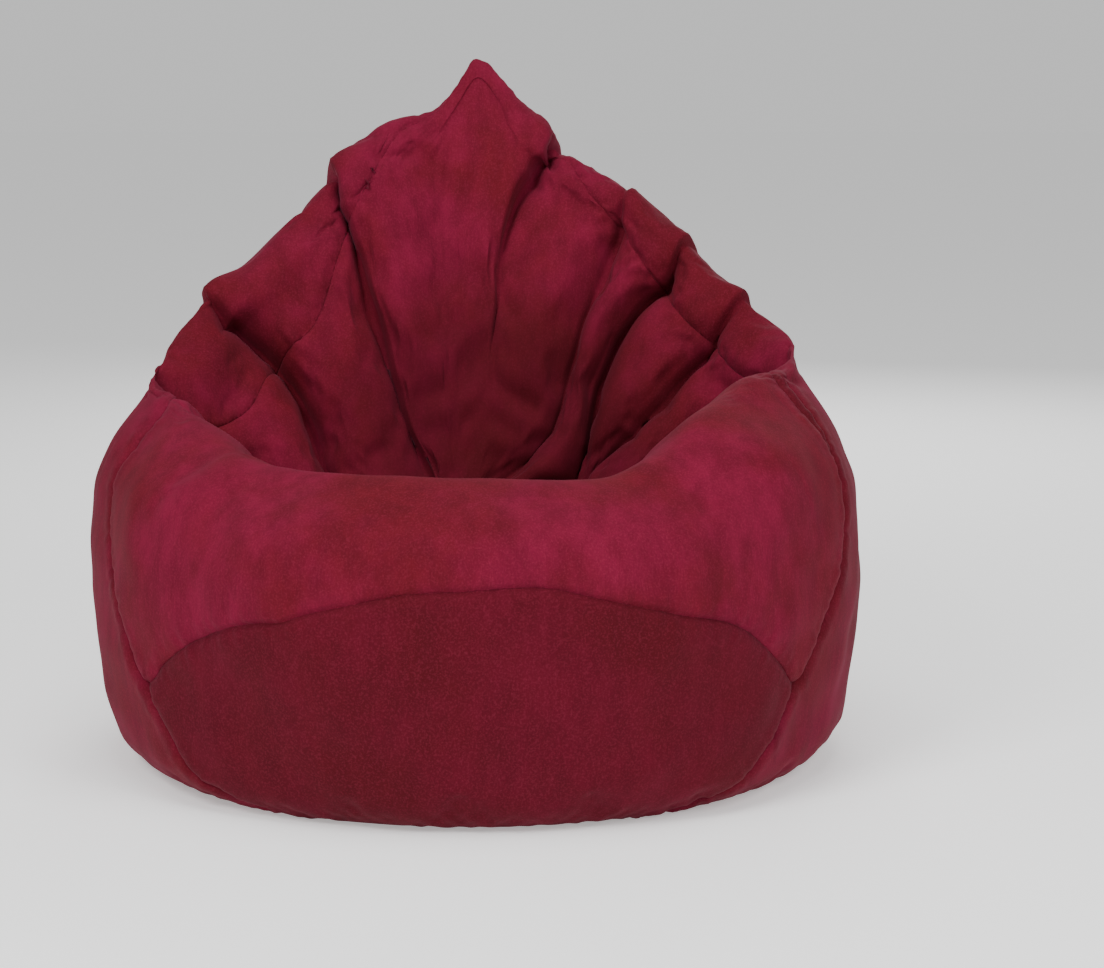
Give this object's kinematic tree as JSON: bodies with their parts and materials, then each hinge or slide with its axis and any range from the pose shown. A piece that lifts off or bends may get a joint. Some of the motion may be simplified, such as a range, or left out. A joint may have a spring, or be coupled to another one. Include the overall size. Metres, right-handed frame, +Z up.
{
  "type": "bean bag chair",
  "caption": "Floor lounge bag with a deep seat hollow, arms and a peaked hood, in sewn fabric panels round a bead-filled liner, with a rear zip and a carry loop.",
  "frame": {"origin": "on the floor, under the middle of the bag's box", "axes": "+Z up, +Y to the rear of the chair, +X to the sitter's left; the sitter faces -Y"},
  "size_m": [0.9499, 0.9499, 0.85],
  "materials": {
    "cover_suede": "short napped faux suede, softly mottled burgundy",
    "liner_cloth": "plain white woven liner",
    "foam_beads": "expanded foam beads, loose",
    "zip_tape": "twill tape dyed to match the cover",
    "zip_plastic": "moulded teeth dyed to match the tape",
    "slider_metal": "enamelled die-cast zinc",
    "liner_zip_tape": "white twill tape",
    "liner_zip_plastic": "white moulded teeth",
    "strap_webbing": "folded and topstitched strap of the cover cloth"
  },
  "bodies": {
    "bag": {"front_panel": "cover_suede", "apron_panel": "cover_suede", "base_panel": "cover_suede", "rear_panel_left": "cover_suede", "rear_panel_right": "cover_suede", "liner_front_panel": "liner_cloth", "liner_apron_panel": "liner_cloth", "liner_base_panel": "liner_cloth", "liner_rear_panel_left": "liner_cloth", "liner_rear_panel_right": "liner_cloth", "bead_fill": "foam_beads", "zip_tape_left": "zip_tape", "zip_tape_right": "zip_tape", "zip_teeth_left": "zip_plastic", "zip_teeth_right": "zip_plastic", "zip_bottom_stop": "zip_plastic", "zip_top_stops": "zip_plastic", "liner_zip_tape_left": "liner_zip_tape", "liner_zip_tape_right": "liner_zip_tape", "liner_zip_teeth_left": "liner_zip_plastic", "liner_zip_teeth_right": "liner_zip_plastic", "liner_zip_bottom_stop": "liner_zip_plastic", "liner_zip_top_stops": "liner_zip_plastic", "carry_loop_end_left": "strap_webbing", "carry_loop_end_right": "strap_webbing", "loop_backing_patch": "strap_webbing"},
    "slider": {"zip_slider": "slider_metal"},
    "pull": {"zip_pull": "slider_metal"},
    "liner_slider": {"liner_zip_slider": "slider_metal"},
    "loop": {"carry_loop": "strap_webbing"}
  },
  "joints": [
    {"name": "zip_slider_travel", "type": "hinge", "parent": "bag", "child": "slider", "pos_m": [0, -0.375, 0.215], "axis": [1, 0, 0], "range_deg": [-23.4, 0]},
    {"name": "zip_pull_swing", "type": "hinge", "parent": "slider", "child": "pull", "pos_m": [0, 0.39774, 0.56679], "axis": [1, 0, 0], "range_deg": [0, 150]},
    {"name": "liner_zip_slider_travel", "type": "hinge", "parent": "bag", "child": "liner_slider", "pos_m": [0, -0.375, 0.215], "axis": [1, 0, 0], "range_deg": [-21.2, 0]},
    {"name": "carry_loop_swing", "type": "hinge", "parent": "bag", "child": "loop", "pos_m": [0, 0.37134, 0.67502], "axis": [1, 0, 0], "range_deg": [-40, 40], "stiffness_Nm_per_rad": 0.05}
  ]
}
